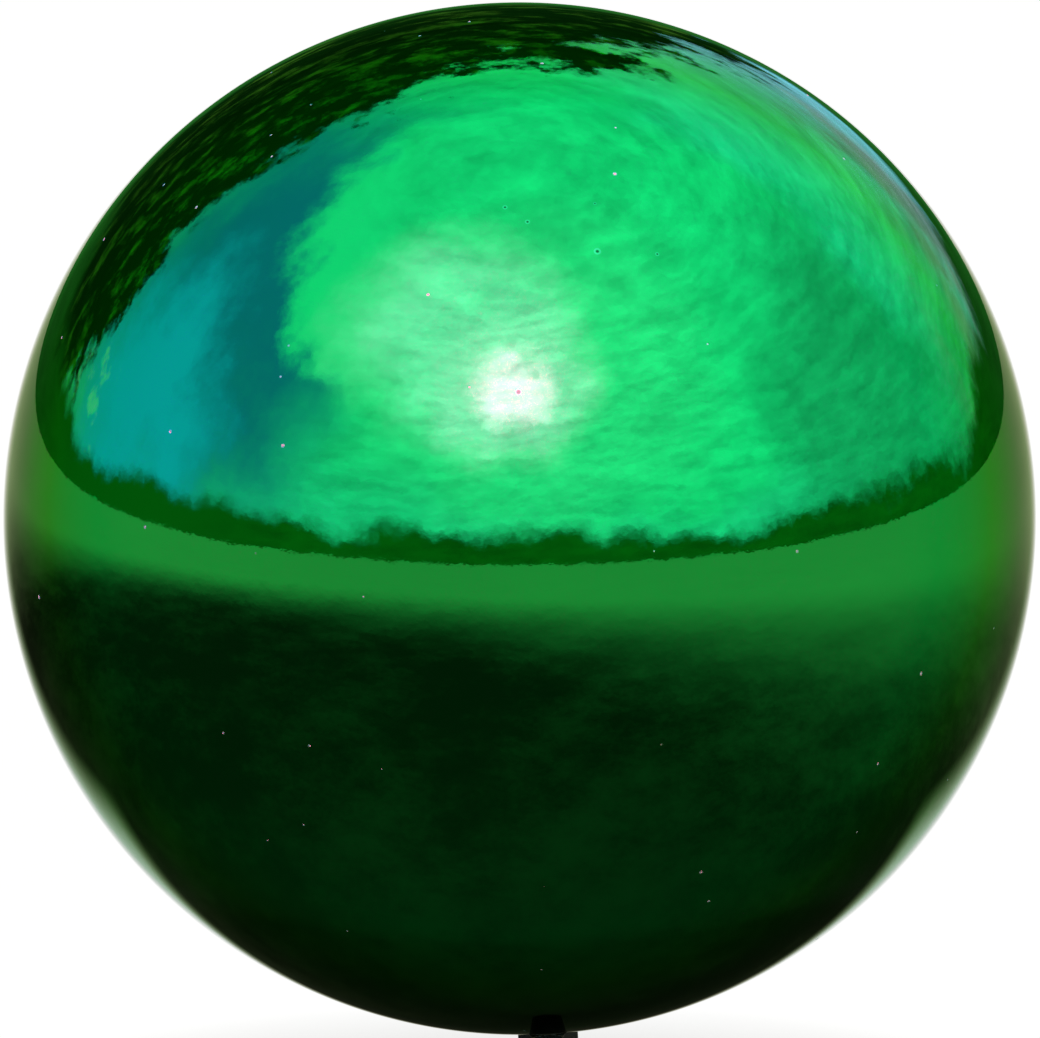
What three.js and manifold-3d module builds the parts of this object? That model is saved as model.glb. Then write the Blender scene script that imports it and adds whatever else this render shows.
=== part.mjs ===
// Garden gazing ball: a hollow mirror-polished steel ball under green lacquer, which screws onto a
// threaded stem. Millimetres, +Z up, origin at the centre of the stem's lower end.
import * as THREE from "three";
import { mergeVertices } from "three/addons/utils/BufferGeometryUtils.js";
import Module from "manifold-3d";

// The ball: two pressed halves of thin sheet, welded round the middle
const ballDiameter = 254;
const sheetThickness = 0.6;
const weldWidth = 1.4;
const rootBeadHeight = 0.5;
const seatMargin = 0.8;

// The reinforcing disc and the weld nut inside, over the hole in the seat
const discDiameter = 44;
const discThickness = 1;
const discSkirtGap = 0.25;
const nutAcrossFlats = 14;
const nutHeight = 6.5;
const nutPilotWall = 1.3;
const nutPilotGap = 0.2;

// The stem: a plain pin for a stand's socket, a hexagonal collar and a threaded spigot
const pinDiameter = 9.8;
const pinLength = 38;
const pinChamfer = 1.2;
const collarAcrossFlats = 13;
const collarHeight = 4;
const hexChamferAngle = 30;
const spigotDiameter = 8;
const spigotChamfer = 0.9;
const spigotTipLength = 2.25;
const reliefLength = 1.2;
const reliefDepth = 0.7;

// The washers between the collar and the ball. The cup washer is as wide as the seal in it needs.
const sealRingWidth = 2.85;
const washerThickness = 0.9;
const washerRimHeight = 0.7;
const washerRimWall = 0.7;
const sealThickness = 2;
const sealRimGap = 0.3;
const sealEdgeRadius = 0.6;

// Clearances round the spigot, and how far the cutting solids overrun
const threadGap = 0.15;
const holeGap = 0.4;
const overrun = 1;

// Facets round the ball and the small turned pieces, and steps along the curves
const ballFacets = 64;
const turnedFacets = 48;
const domeSteps = 15;
const bandSteps = 4;
const edgeSteps = 3;
const skirtSteps = 5;

const ballRadius = ballDiameter / 2;
const innerRadius = ballRadius - sheetThickness;
const pinRadius = pinDiameter / 2;
const spigotRadius = spigotDiameter / 2;
const holeRadius = spigotRadius + holeGap;
const nutBoreRadius = spigotRadius + threadGap;
const pilotRadius = nutBoreRadius + nutPilotWall;
const sealRadius = holeRadius + sealRingWidth;
const washerWellRadius = sealRadius + sealRimGap;
const washerRadius = washerWellRadius + washerRimWall;
const hexChamferSlope = Math.tan(THREE.MathUtils.degToRad(hexChamferAngle));

// A flat is pressed into the ball's lowest point, as wide as the nut inside it and the washer under
// it need. The disc's skirt leaves the same flat at its gap to the sheet, which sets how deep it is.
const nutCornerRadius = nutAcrossFlats / 2 / Math.cos(Math.PI / 6);
const flatRadius = Math.max(nutCornerRadius, washerRadius) + seatMargin;
const skirtRadius = innerRadius - discSkirtGap;
const innerSeatDepth = Math.sqrt(skirtRadius ** 2 - flatRadius ** 2);
const seatDepth = innerSeatDepth + sheetThickness;

// The stack on the axis, from the stem's lower end upwards
const collarTop = pinLength + collarHeight;
const washerTop = collarTop + washerThickness;
const seatHeight = washerTop + sealThickness;
const ballCentreHeight = seatHeight + seatDepth;
const discBottom = seatHeight + sheetThickness;
const nutBottom = discBottom + discThickness;
const nutTop = nutBottom + nutHeight;
const spigotTop = nutTop + spigotTipLength;

const wasm = await Module();
wasm.setup();

const toSolid = (geometry) => {
  const bare = geometry.clone();
  bare.deleteAttribute("normal");
  bare.deleteAttribute("uv");
  const merged = mergeVertices(bare);
  return new wasm.Manifold(new wasm.Mesh({
    numProp: 3,
    vertProperties: new Float32Array(merged.getAttribute("position").array),
    triVerts: new Uint32Array(merged.getIndex().array),
  }));
};

const toGeometry = (solid) => {
  const { vertProperties, triVerts } = solid.getMesh();
  const geometry = new THREE.BufferGeometry();
  geometry.setAttribute("position", new THREE.BufferAttribute(vertProperties, 3));
  geometry.setIndex(new THREE.BufferAttribute(triVerts, 1));
  geometry.computeVertexNormals();
  return geometry;
};

// Turns a profile of [radius, height] points about the Z axis. The points run with the solid on
// their left, and the profile closes on the axis or on its own first point.
const turn = (profile, facets) => {
  const points = profile.map(([radius, height]) => new THREE.Vector2(radius, height));
  const onAxis = points[0].x === 0 && points.at(-1).x === 0;
  if (!onAxis) points.push(points[0].clone());
  return new THREE.LatheGeometry(points, facets).rotateX(Math.PI / 2);
};

// Points on a circle about a centre on the axis, or about any other centre. Angles are measured
// from the horizontal plane, in radians, positive upwards.
const pole = Math.PI / 2;
const arc = (radius, start, end, steps, centreRadius = 0, centreHeight = 0) =>
  Array.from({ length: steps + 1 }, (_, step) => {
    const angle = THREE.MathUtils.lerp(start, end, step / steps);
    const onPole = centreRadius === 0 && Math.abs(angle) === pole;
    const reach = onPole ? 0 : radius * Math.cos(angle);
    return [centreRadius + reach, centreHeight + radius * Math.sin(angle)];
  });

// A hexagonal prism standing on Z = 0, its corners turned down to a cone at one or both ends
const hexPrism = (acrossFlats, height, chamferBottom) => {
  const cornerRadius = acrossFlats / 2 / Math.cos(Math.PI / 6);
  const corners = Array.from({ length: 6 }, (_, corner) => {
    const angle = (corner * Math.PI) / 3;
    return new THREE.Vector2(cornerRadius * Math.cos(angle), cornerRadius * Math.sin(angle));
  });
  const prism = new THREE.ExtrudeGeometry(new THREE.Shape(corners), {
    depth: height,
    bevelEnabled: false,
  });
  const faceRadius = acrossFlats / 2;
  const rise = (cornerRadius - faceRadius) * hexChamferSlope;
  const outside = cornerRadius + overrun;
  const runOut = rise + overrun * hexChamferSlope;
  const lowEnd = chamferBottom
    ? [[0, 0], [faceRadius, 0], [outside, runOut]]
    : [[0, 0], [outside, 0]];
  const barrel = turn([...lowEnd, [outside, height - runOut], [faceRadius, height], [0, height]],
    turnedFacets);
  return toSolid(prism).intersect(toSolid(barrel));
};

// The halves meet the weld on flat rings, half the weld's width above and below the middle.
const edgeAngle = (radius) => Math.asin(weldWidth / 2 / radius);

const makeUpperShell = () => turn([
  ...arc(innerRadius, pole, edgeAngle(innerRadius), domeSteps),
  ...arc(ballRadius, edgeAngle(ballRadius), pole, domeSteps),
], ballFacets);

const makeLowerShell = () => {
  const outerSeatAngle = -Math.asin(seatDepth / ballRadius);
  const innerSeatAngle = -Math.asin(innerSeatDepth / innerRadius);
  return turn([
    [holeRadius, -seatDepth],
    ...arc(ballRadius, outerSeatAngle, -edgeAngle(ballRadius), domeSteps),
    ...arc(innerRadius, -edgeAngle(innerRadius), innerSeatAngle, domeSteps),
    [holeRadius, -innerSeatDepth],
  ], ballFacets);
};

// Flush with the ball outside, and a rounded bead inside where the weld has run through
const makeSeamWeld = () => {
  const halfWidth = weldWidth / 2;
  const outerEdge = ballRadius * Math.cos(edgeAngle(ballRadius));
  const innerEdge = innerRadius * Math.cos(edgeAngle(innerRadius));
  const bead = Array.from({ length: bandSteps + 1 }, (_, step) => {
    const angle = (step * Math.PI) / bandSteps;
    return [innerEdge - rootBeadHeight * Math.sin(angle), halfWidth * Math.cos(angle)];
  });
  return turn([[outerEdge, -halfWidth], [ballRadius, 0], [outerEdge, halfWidth], ...bead],
    ballFacets);
};

// A flat middle welded to the seat, and a dished skirt that follows the sheet at a small gap
const makeBaseDisc = () => {
  const topRadius = skirtRadius - discThickness;
  const flatAngle = -Math.asin(innerSeatDepth / skirtRadius);
  const flatTopAngle = -Math.asin((innerSeatDepth - discThickness) / topRadius);
  const rimAngle = -Math.acos(discDiameter / 2 / skirtRadius);
  return turn([
    [pilotRadius + nutPilotGap, 0],
    ...arc(skirtRadius, flatAngle, rimAngle, skirtSteps, 0, innerSeatDepth),
    ...arc(topRadius, rimAngle, flatTopAngle, skirtSteps, 0, innerSeatDepth),
    [pilotRadius + nutPilotGap, discThickness],
  ], turnedFacets);
};

// The pilot under the nut drops into the disc's hole and centres the nut before it is welded.
const makeWeldNut = () => {
  const pilotDrop = discThickness - nutPilotGap;
  const pilot = turn([
    [0, -pilotDrop],
    [pilotRadius, -pilotDrop],
    [pilotRadius, nutHeight / 2],
    [0, nutHeight / 2],
  ], turnedFacets);
  const countersink = nutBoreRadius + spigotChamfer;
  const bore = turn([
    [0, -pilotDrop - overrun],
    [nutBoreRadius, -pilotDrop - overrun],
    [nutBoreRadius, nutHeight - spigotChamfer],
    [countersink, nutHeight],
    [countersink, nutHeight + overrun],
    [0, nutHeight + overrun],
  ], turnedFacets);
  return toGeometry(
    hexPrism(nutAcrossFlats, nutHeight, false).add(toSolid(pilot)).subtract(toSolid(bore)));
};

const makeRubberSeal = () => turn([
  [holeRadius, 0],
  ...arc(sealEdgeRadius, -pole, 0, edgeSteps, sealRadius - sealEdgeRadius, sealEdgeRadius),
  ...arc(sealEdgeRadius, 0, pole, edgeSteps, sealRadius - sealEdgeRadius,
    sealThickness - sealEdgeRadius),
  [holeRadius, sealThickness],
], turnedFacets);

const makeCupWasher = () => {
  const rimTop = washerThickness + washerRimHeight;
  const cornerRadius = washerThickness / 2;
  return turn([
    [holeRadius, 0],
    ...arc(cornerRadius, -pole, 0, edgeSteps, washerRadius - cornerRadius, cornerRadius),
    ...arc(washerRimWall / 2, 0, Math.PI, edgeSteps, washerRadius - washerRimWall / 2,
      rimTop - washerRimWall / 2),
    [washerWellRadius, washerThickness],
    [holeRadius, washerThickness],
  ], turnedFacets);
};

// Turned from one hexagonal bar: the thread's relief lets the washers seat flat on the collar.
const makeMountingStem = () => {
  const reliefRadius = spigotRadius - reliefDepth;
  const reliefTop = collarTop + reliefLength;
  const shaft = turn([
    [0, 0],
    [pinRadius - pinChamfer, 0],
    [pinRadius, pinChamfer],
    [pinRadius, pinLength + collarHeight / 2],
    [reliefRadius, pinLength + collarHeight / 2],
    [reliefRadius, reliefTop],
    [spigotRadius, reliefTop + reliefDepth],
    [spigotRadius, spigotTop - spigotChamfer],
    [spigotRadius - spigotChamfer, spigotTop],
    [0, spigotTop],
  ], turnedFacets);
  const collar = hexPrism(collarAcrossFlats, collarHeight, true).translate([0, 0, pinLength]);
  return toGeometry(toSolid(shaft).add(collar));
};

const lacquer = { color: 0x06b83f, roughness: 0.04, metalness: 1 };
const bareSteel = { color: 0xa9abac, roughness: 0.35, metalness: 1 };
const weldSteel = { color: 0x8f8a80, roughness: 0.5, metalness: 1 };
const blackSteel = { color: 0x1b1b1d, roughness: 0.45, metalness: 0.8 };
const washerSteel = { color: 0xb7b9b4, roughness: 0.3, metalness: 1 };
const blackRubber = { color: 0x161616, roughness: 0.85, metalness: 0 };

const addMesh = (parent, name, geometry, finish, height) => {
  const mesh = new THREE.Mesh(geometry, new THREE.MeshStandardMaterial(finish));
  mesh.name = name;
  mesh.position.z = height;
  parent.add(mesh);
};

const gazingBall = new THREE.Group();

const washers = new THREE.Group();
washers.position.z = collarTop;
addMesh(washers, "cup_washer", makeCupWasher(), washerSteel, 0);
addMesh(washers, "rubber_seal", makeRubberSeal(), blackRubber, washerThickness);

const ball = new THREE.Group();
ball.position.z = ballCentreHeight;
addMesh(ball, "upper_shell", makeUpperShell(), lacquer, 0);
addMesh(ball, "lower_shell", makeLowerShell(), lacquer, 0);
addMesh(ball, "seam_weld", makeSeamWeld(), weldSteel, 0);
addMesh(ball, "base_disc", makeBaseDisc(), bareSteel, discBottom - ballCentreHeight);
addMesh(ball, "weld_nut", makeWeldNut(), bareSteel, nutBottom - ballCentreHeight);

addMesh(gazingBall, "mounting_stem", makeMountingStem(), blackSteel, 0);
gazingBall.add(washers, ball);

export default gazingBall;
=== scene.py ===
# Gazing ball: thin steel halves polished to a mirror under green lacquer, screwed onto a stem
import math

import bmesh
import bpy
import numpy as np
from mathutils import Matrix, Vector


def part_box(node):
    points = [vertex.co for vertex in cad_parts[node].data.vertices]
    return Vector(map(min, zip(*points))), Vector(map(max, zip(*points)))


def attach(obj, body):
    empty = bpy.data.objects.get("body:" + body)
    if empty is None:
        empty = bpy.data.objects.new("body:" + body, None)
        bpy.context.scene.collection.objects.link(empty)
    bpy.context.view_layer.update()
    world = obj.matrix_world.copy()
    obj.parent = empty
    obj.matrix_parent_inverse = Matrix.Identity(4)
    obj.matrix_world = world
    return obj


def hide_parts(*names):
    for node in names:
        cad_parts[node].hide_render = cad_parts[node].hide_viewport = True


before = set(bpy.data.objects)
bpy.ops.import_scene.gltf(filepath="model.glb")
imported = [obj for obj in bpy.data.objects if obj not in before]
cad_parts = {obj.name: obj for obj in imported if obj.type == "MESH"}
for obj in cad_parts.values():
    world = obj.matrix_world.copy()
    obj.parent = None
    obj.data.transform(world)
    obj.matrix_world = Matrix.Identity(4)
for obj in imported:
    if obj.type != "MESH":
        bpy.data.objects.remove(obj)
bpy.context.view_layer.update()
print("frame loaded,", len(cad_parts), "nodes")

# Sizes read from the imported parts, in metres
upperLow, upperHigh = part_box("upper_shell")
lowerLow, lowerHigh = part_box("lower_shell")
seamLow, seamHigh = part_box("seam_weld")
discLow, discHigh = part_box("base_disc")
nutLow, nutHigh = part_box("weld_nut")
sealLow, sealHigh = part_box("rubber_seal")
cupLow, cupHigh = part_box("cup_washer")
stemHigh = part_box("mounting_stem")[1]

ballRadius = upperHigh.x
ballCentre = Vector((0, 0, upperHigh.z - ballRadius))

ball = {
    "sheet": 0.0006,
    "columns": 256,
    "outerRows": 108,
    "innerRows": 44,
    "waves": 22,  # slow waves that pressing and polishing leave in the sheet
    "waveDepth": 0.00009,
    "shortestWave": 0.032,
    "longestWave": 0.120,
    "seed": 11,
}


# Mesh making
def ringAngles(columns):
    return np.arange(columns) * 2 * math.pi / columns


def ring(radius, height, columns):
    # one row of points round the axis; radius and height are single values or one for each column
    angle = ringAngles(columns)
    flat = np.broadcast_to(radius, columns)
    level = np.broadcast_to(height, columns)
    return np.stack([flat * np.cos(angle), flat * np.sin(angle), level], 1)


def pole(height):
    return np.array([[0.0, 0.0, height]])


def rings(profile, columns):
    return [ring(radius, height, columns) for radius, height in profile]


def softCorners(corners, steps):
    # rounds the corners of a closed outline; each corner is (radius, height, fillet)
    soft = []
    count = len(corners)
    for i, (x, y, fillet) in enumerate(corners):
        here = Vector((x, y))
        before = Vector(corners[i - 1][:2]) - here
        after = Vector(corners[(i + 1) % count][:2]) - here
        if fillet <= 0:
            soft.append((x, y))
            continue
        half = before.angle(after) / 2
        reach = min(fillet / math.tan(half), before.length * 0.49, after.length * 0.49)
        start = here + before.normalized() * reach
        end = here + after.normalized() * reach
        for k in range(steps + 1):
            t = k / steps
            point = start * (1 - t) ** 2 + here * 2 * t * (1 - t) + end * t ** 2
            soft.append((point.x, point.y))
    return soft


def buildPiece(name, rows, closed=False, sharpAngle=30, finishOf=None, normalOf=None):
    # joins the rows into one closed body; finishOf(row) gives a face's material number,
    # normalOf(row, points) gives exact normals for a row's faces, or None
    bm = bmesh.new()
    made = [[bm.verts.new(point) for point in row] for row in rows]
    columns = max(len(row) for row in rows)
    pairs = list(zip(range(len(rows) - 1), range(1, len(rows))))
    if closed:
        pairs.append((len(rows) - 1, 0))
    rowLayer = bm.faces.layers.int.new("row")
    for low, high in pairs:
        for j in range(columns):
            k = (j + 1) % columns
            corners = [made[low][j], made[low][k]] if len(made[low]) > 1 else [made[low][0]]
            corners += [made[high][k], made[high][j]] if len(made[high]) > 1 else [made[high][0]]
            face = bm.faces.new(corners)
            face.smooth = True
            face[rowLayer] = low
            face.material_index = finishOf(low) if finishOf else 0
    bmesh.ops.recalc_face_normals(bm, faces=bm.faces)
    mesh = bpy.data.meshes.new(name)
    bm.to_mesh(mesh)
    bm.free()
    mesh.set_sharp_from_angle(angle=math.radians(sharpAngle))
    if normalOf:
        giveNormals(mesh, normalOf)
    mesh.attributes.remove(mesh.attributes["row"])
    piece = bpy.data.objects.new(name, mesh)
    bpy.context.scene.collection.objects.link(piece)
    return piece


def giveNormals(mesh, normalOf):
    loops = len(mesh.loops)
    normals = np.zeros(loops * 3)
    mesh.corner_normals.foreach_get("vector", normals)
    normals = normals.reshape(-1, 3)
    faceRow = np.zeros(len(mesh.polygons), int)
    mesh.attributes["row"].data.foreach_get("value", faceRow)
    sizes = np.zeros(len(mesh.polygons), int)
    mesh.polygons.foreach_get("loop_total", sizes)
    corner = np.zeros(loops, int)
    mesh.loops.foreach_get("vertex_index", corner)
    points = np.zeros(len(mesh.vertices) * 3)
    mesh.vertices.foreach_get("co", points)
    points = points.reshape(-1, 3)[corner]
    cornerRow = np.repeat(faceRow, sizes)
    exact, where = normalOf(cornerRow, points)
    normals[where] = exact[where]
    mesh.normals_split_custom_set(normals.tolist())


def fit(piece, body, replaced, materials):
    for material in materials:
        piece.data.materials.append(material)
    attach(piece, body)
    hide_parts(replaced)


# Node helpers
def feed(tree, value, socket):
    # links another node's output, or sets a colour or a number
    if isinstance(value, bpy.types.NodeSocket):
        tree.links.new(value, socket)
    elif socket.type == "RGBA":
        socket.default_value = (*value, 1)
    else:
        socket.default_value = value


def put(tree, kind, inputs=None, **settings):
    node = tree.nodes.new(kind)
    for key, value in settings.items():
        setattr(node, key, value)
    for key, value in (inputs or {}).items():
        feed(tree, value, node.inputs[key])
    return node


def maths(tree, operation, first, second=None):
    inputs = {0: first} if second is None else {0: first, 1: second}
    return put(tree, "ShaderNodeMath", inputs, operation=operation).outputs[0]


def plus(tree, first, second):
    return maths(tree, "ADD", first, second)


def minus(tree, first, second):
    return maths(tree, "SUBTRACT", first, second)


def times(tree, first, second):
    return maths(tree, "MULTIPLY", first, second)


def over(tree, first, second):
    return maths(tree, "DIVIDE", first, second)


def vectorMaths(tree, operation, first, second):
    # a dot product or a distance comes out as a number
    node = put(tree, "ShaderNodeVectorMath", {0: first, 1: second}, operation=operation)
    return node.outputs["Value" if operation in ("DOT_PRODUCT", "DISTANCE") else "Vector"]


def remap(tree, value, low, high, toLow=0.0, toHigh=1.0, smooth=True):
    inputs = {"Value": value, "From Min": low, "From Max": high, "To Min": toLow, "To Max": toHigh}
    curve = "SMOOTHSTEP" if smooth else "LINEAR"
    return put(tree, "ShaderNodeMapRange", inputs, interpolation_type=curve).outputs["Result"]


def mixColour(tree, factor, first, second):
    return put(tree, "ShaderNodeMix", {0: factor, 6: first, 7: second}, data_type="RGBA").outputs[2]


def noiseOf(tree, vector, scale, detail, roughness=0.5):
    inputs = {"Vector": vector, "Scale": scale, "Detail": detail, "Roughness": roughness}
    return put(tree, "ShaderNodeTexNoise", inputs).outputs


def newGroup(name, inputs, *outputs):
    # inputs gives each number's starting value, or None for a vector; the outputs are numbers
    group = bpy.data.node_groups.new(name, "ShaderNodeTree")
    for label, start in inputs.items():
        kind = "NodeSocketVector" if start is None else "NodeSocketFloat"
        socket = group.interface.new_socket(name=label, in_out="INPUT", socket_type=kind)
        if start is not None:
            socket.default_value = start
    for label in outputs:
        group.interface.new_socket(name=label, in_out="OUTPUT", socket_type="NodeSocketFloat")
    return group, put(group, "NodeGroupInput").outputs, put(group, "NodeGroupOutput").inputs


def place(tree, group, **values):
    return put(tree, "ShaderNodeGroup", values, node_tree=group).outputs


# Effects that several finishes share
effects = {
    "mottleDetail": 4,
    "mottleRange": (0.02, 0.98),  # the span of the noise that is used at no contrast
    "mottleNarrowing": 0.45,  # what full contrast takes off it at each end
    "speckLeast": 0.4,  # the smallest speck, as a share of the size asked for
    "speckEdge": 0.5,
    "turningDetail": 2,
    "turningSqueeze": (0.06, 0.06, 1.0),  # draws the marks out round the axis
    # parts of a pit, as shares of its radius: where each begins and is full
    "pitHole": (0.45, 0.25),
    "pitRingInside": (0.35, 0.65),
    "pitRingOutside": (1.0, 0.65),
    "wearDetail": 3,
    "wearBreak": 0.06,  # how far grain shifts the edge of the worn place
}


def mottleGroup():
    # soft patches about one wavelength wide
    inputs = {"Vector": None, "Wavelength": 0.01, "Contrast": 0.5}
    group, given, out = newGroup("mottle", inputs, "Value")
    scale = over(group, 1.0, given["Wavelength"])
    noise = noiseOf(group, given["Vector"], scale, effects["mottleDetail"])
    edge = times(group, given["Contrast"], effects["mottleNarrowing"])
    low, high = effects["mottleRange"]
    value = remap(group, noise["Fac"], plus(group, edge, low), minus(group, high, edge))
    feed(group, value, out["Value"])
    return group


def speckGroup():
    # round specks of different sizes, at most one to a cell
    inputs = {"Vector": None, "Spacing": 0.01, "Size": 0.0003, "Share": 0.3}
    group, given, out = newGroup("specks", inputs, "Mask")
    scale = over(group, 1.0, given["Spacing"])
    cells = put(group, "ShaderNodeTexVoronoi", {"Vector": given["Vector"], "Scale": scale}).outputs
    chance, sizeChance = put(group, "ShaderNodeSeparateColor", {0: cells["Color"]}).outputs[:2]
    wide = plus(group, sizeChance, effects["speckLeast"])
    reach = times(group, times(group, given["Size"], scale), wide)
    inside = minus(group, 1.0, over(group, cells["Distance"], reach))
    dot = remap(group, inside, 0.0, effects["speckEdge"])
    feed(group, times(group, dot, maths(group, "LESS_THAN", chance, given["Share"])), out["Mask"])
    return group


def turnedGroup():
    group, given, out = newGroup("turningMarks", {"Vector": None, "Pitch": 0.0002}, "Height")
    squeezed = vectorMaths(group, "MULTIPLY", given["Vector"], effects["turningSqueeze"])
    noise = noiseOf(group, squeezed, over(group, 1.0, given["Pitch"]), effects["turningDetail"])
    feed(group, noise["Fac"], out["Height"])
    return group


def pitGroup():
    # a pit in the lacquer, dark with a lighter ring of lifted film, joined to the pits before it
    inputs = {"Vector": None, "Centre": None, "Radius": 0.0006, "Hole": 0.0, "Halo": 0.0}
    group, given, out = newGroup("pit", inputs, "Hole", "Halo")
    away = vectorMaths(group, "DISTANCE", given["Vector"], given["Centre"])
    share = over(group, away, given["Radius"])
    hole, inside, outside = [remap(group, share, *effects[part])
                             for part in ("pitHole", "pitRingInside", "pitRingOutside")]
    feed(group, maths(group, "MAXIMUM", hole, given["Hole"]), out["Hole"])
    feed(group, maths(group, "MAXIMUM", times(group, inside, outside), given["Halo"]), out["Halo"])
    return group


def wearGroup():
    # bright worn edges: where the surface is sharply convex, broken up by grain
    inputs = {"Vector": None, "Edge": 0.5, "Start": 0.52, "Full": 0.60, "Grain": 0.0006}
    group, given, out = newGroup("edgeWear", inputs, "Mask")
    noise = noiseOf(group, given["Vector"], over(group, 1.0, given["Grain"]), effects["wearDetail"])
    rough = times(group, minus(group, noise["Fac"], 0.5), effects["wearBreak"])
    worn = remap(group, plus(group, given["Edge"], rough), given["Start"], given["Full"])
    feed(group, worn, out["Mask"])
    return group


def weldHeatGroup():
    # how hot the steel got: 1 at a weld, 0 beyond its reach; the welds lie in a ring round the axis
    inputs = {"Vector": None, "Count": 6.0, "Circle": 0.02, "Reach": 0.005}
    group, given, out = newGroup("weldHeat", inputs, "Heat")
    x, y = put(group, "ShaderNodeSeparateXYZ", {0: given["Vector"]}).outputs[:2]
    squares = plus(group, times(group, x, x), times(group, y, y))
    wedge = over(group, 2 * math.pi, given["Count"])
    turn = maths(group, "FLOORED_MODULO", maths(group, "ARCTAN2", y, x), wedge)
    off = minus(group, turn, times(group, wedge, 0.5))
    # the law of cosines gives the distance to the nearest weld
    along = times(group, maths(group, "COSINE", off), maths(group, "SQRT", squares))
    cross = times(group, times(group, along, given["Circle"]), 2.0)
    gap = minus(group, plus(group, squares, times(group, given["Circle"], given["Circle"])), cross)
    away = over(group, maths(group, "SQRT", gap), given["Reach"])
    feed(group, minus(group, 1.0, away), out["Heat"])
    return group


def bandHeatGroup():
    # the same for a weld that runs round at one level
    group, given, out = newGroup("bandHeat", {"Vector": None, "Level": 0.1, "Reach": 0.005}, "Heat")
    height = put(group, "ShaderNodeSeparateXYZ", {0: given["Vector"]}).outputs["Z"]
    above = minus(group, height, given["Level"])
    away = over(group, maths(group, "ABSOLUTE", above), given["Reach"])
    feed(group, minus(group, 1.0, away), out["Heat"])
    return group


mottle = mottleGroup()
specks = speckGroup()
turningMarks = turnedGroup()
pit = pitGroup()
edgeWear = wearGroup()
weldHeat = weldHeatGroup()
bandHeat = bandHeatGroup()


def mottled(tree, spot, wavelength, contrast):
    return place(tree, mottle, Vector=spot, Wavelength=wavelength, Contrast=contrast)["Value"]


def newMaterial(name):
    material = bpy.data.materials.new(name)
    material.use_nodes = True
    tree = material.node_tree
    spot = put(tree, "ShaderNodeTexCoord").outputs["Object"]
    return material, tree, tree.nodes["Principled BSDF"], spot


def bump(tree, shader, height, distance):
    node = put(tree, "ShaderNodeBump", {"Height": height, "Distance": distance, "Strength": 1.0})
    feed(tree, node.outputs["Normal"], shader.inputs["Normal"])


def seenPlainly(tree):
    # 1 for what the camera sees, also mirrored or through glass, 0 for the light on dull surfaces
    path = put(tree, "ShaderNodeLightPath").outputs
    seen = maths(tree, "MAXIMUM", path["Is Camera Ray"], path["Is Glossy Ray"])
    seen = maths(tree, "MAXIMUM", seen, path["Is Transmission Ray"])
    return times(tree, seen, maths(tree, "LESS_THAN", path["Diffuse Depth"], 0.5))


# Stage and camera. The picture shows the ball's axis leaning a little, so the stage leans instead.
stage = {
    "lean": 3.1,
    "floorSize": 80.0,
    "floorDrop": 0.0004,
    "floorColour": (0.85, 0.85, 0.83),
}
toFrame = Matrix.Rotation(math.radians(stage["lean"]), 3, "Y")  # stage axes to the part's axes
stageUp = toFrame @ Vector((0, 0, 1))
stageRight = toFrame @ Vector((1, 0, 0))
stageAhead = Vector((0, 1, 0))


def stageDirection(azimuth, elevation):
    # azimuth 0 is towards the camera, positive to its right
    a = math.radians(azimuth)
    e = math.radians(elevation)
    return toFrame @ Vector((math.sin(a) * math.cos(e), -math.cos(a) * math.cos(e), math.sin(e)))


view = {
    "distance": 1.5,
    "elevation": 9.7,
    "imageWidth": 1040,
    "imageHeight": 1038,
    "ballPixel": (519.6, 518.4),  # where the ball's centre lies in the picture
    "ballPixelRadius": 516.7,
    "sensor": 36.0,
    "clip": (0.01, 100),
}


def frontAxes():
    # the way to the camera, and the camera's own up
    e = math.radians(view["elevation"])
    return (stageUp * math.sin(e) - stageAhead * math.cos(e),
            stageUp * math.cos(e) + stageAhead * math.sin(e))


def makeCamera():
    camera = bpy.data.objects.new("camera", bpy.data.cameras.new("camera"))
    bpy.context.scene.collection.objects.link(camera)
    bpy.context.scene.camera = camera
    focal = view["ballPixelRadius"] / math.tan(math.asin(ballRadius / view["distance"]))
    camera.data.sensor_fit = "HORIZONTAL"
    camera.data.sensor_width = view["sensor"]
    camera.data.lens = focal / view["imageWidth"] * view["sensor"]
    camera.data.clip_start, camera.data.clip_end = view["clip"]
    back, up = frontAxes()
    offRight = (view["imageWidth"] / 2 - view["ballPixel"][0]) / focal * view["distance"]
    offUp = (view["ballPixel"][1] - view["imageHeight"] / 2) / focal * view["distance"]
    spot = ballCentre + back * view["distance"] + stageRight * offRight + up * offUp
    turn = Matrix((stageRight, up, back)).transposed()
    camera.matrix_world = Matrix.Translation(spot) @ turn.to_4x4()


makeCamera()


floorLight = {
    # painted light: a white glowing stretch of floor behind the ball that the camera sees past it
    "stretchNear": (0.085, 0.150),  # how far behind the axis it begins and is full
    "stretchShift": -0.01,
    "stretchWidth": (0.150, 0.090),  # half of it at the axis, and what each metre back adds
    "stretchSoft": (0.045, 0.28),  # the same for its soft edge
    "stretchLevel": 0.985,
    "shadowReach": 0.13,
    # painted shade: the floor's glow is dim round the ball and turns paler past it
    "dimCentre": (-0.32, -0.05),
    "dimReach": (0.45, 1.50),
    "dimWander": 0.45,
    "farLevel": 0.60,
    "farColour": (1.0, 0.97, 0.60),
    # a faint grain at every scale
    "grainScale": 3.0,
    "grainDetail": 8,
    "grainRoughness": 0.80,
    "grainRange": (0.43, 0.64),
    "nearGrain": 0.032,
    "farGrain": 0.11,
}


# painted light: 1 on the glowing stretch of floor behind the ball, 0 elsewhere
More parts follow.
